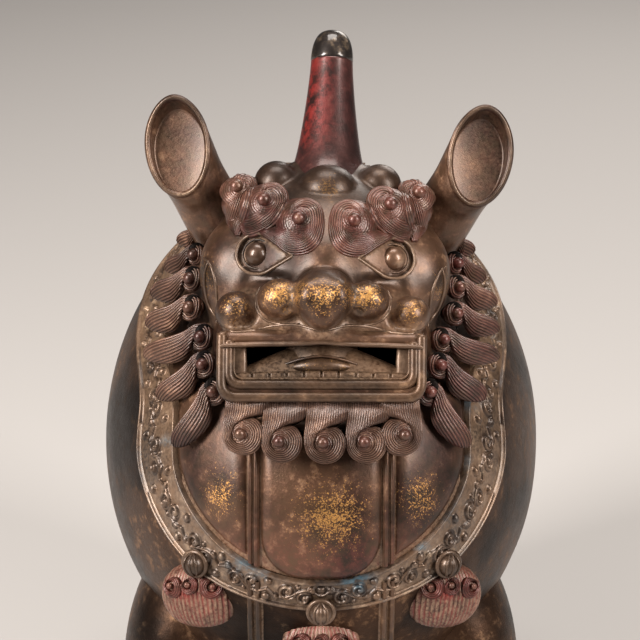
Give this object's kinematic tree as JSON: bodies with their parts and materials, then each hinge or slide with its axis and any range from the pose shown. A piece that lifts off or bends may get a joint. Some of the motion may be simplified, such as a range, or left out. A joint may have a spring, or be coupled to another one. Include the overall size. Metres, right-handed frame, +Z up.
{
  "type": "incense burner",
  "caption": "Beast-shaped bronze incense burner: hollow egg body on four paws, horned head hinged at the nape as a lid, smoke leaves by the open mouth.",
  "frame": {"origin": "on the ground under the middle of the outer box", "axes": "+Z up, the beast faces -Y, +X is the beast's own left"},
  "size_m": [0.17, 0.2448, 0.3104],
  "materials": {
    "bronze_patina": "dark brown patinated bronze with worn gilding, satin",
    "bronze_curls": "purple-brown patinated bronze with reddish lacquer remains, combed lines",
    "red_lacquer": "bronze under dark red lacquer, black glossy tip",
    "tassel_lacquer": "ridged bronze with red lacquer",
    "collar_bronze": "worked bronze with pale dirt and traces of turquoise in the recesses",
    "pin_brass": "plain worn bronze wire",
    "pan_copper": "thin smoked copper"
  },
  "bodies": {
    "body": {"body_shell": "bronze_patina", "collar_band": "collar_bronze", "bell_centre": "collar_bronze", "bell_left": "collar_bronze", "bell_right": "collar_bronze", "tassel_centre": "tassel_lacquer", "tassel_left": "tassel_lacquer", "tassel_right": "tassel_lacquer", "leg_front_left": "bronze_patina", "leg_front_right": "bronze_patina", "leg_rear_left": "bronze_patina", "leg_rear_right": "bronze_patina", "leg_rivets": "pin_brass", "tail": "bronze_patina", "tail_rivets": "pin_brass", "hinge_bracket": "bronze_patina", "bracket_rivets": "pin_brass", "hinge_pin": "pin_brass"},
    "head": {"head_shell": "bronze_patina", "horn": "red_lacquer", "ear_left": "bronze_patina", "ear_right": "bronze_patina", "mane_left": "bronze_curls", "mane_right": "bronze_curls", "beard": "bronze_curls", "brow_curls_left": "bronze_curls", "brow_curls_right": "bronze_curls", "eye_left": "bronze_patina", "eye_right": "bronze_patina", "tongue": "bronze_patina", "fangs": "bronze_patina", "hinge_strap": "bronze_patina", "strap_rivets": "pin_brass"},
    "pan": {"ash_pan": "pan_copper"}
  },
  "joints": [
    {"name": "head_hinge", "type": "hinge", "parent": "body", "child": "head", "pos_m": [0, 0.0253, 0.24044], "axis": [-1, 0, 0], "range_deg": [0, 95]},
    {"name": "pan_lift", "type": "slide", "parent": "body", "child": "pan", "axis": [0, 0, 1], "range_m": [0, 0.07]}
  ]
}
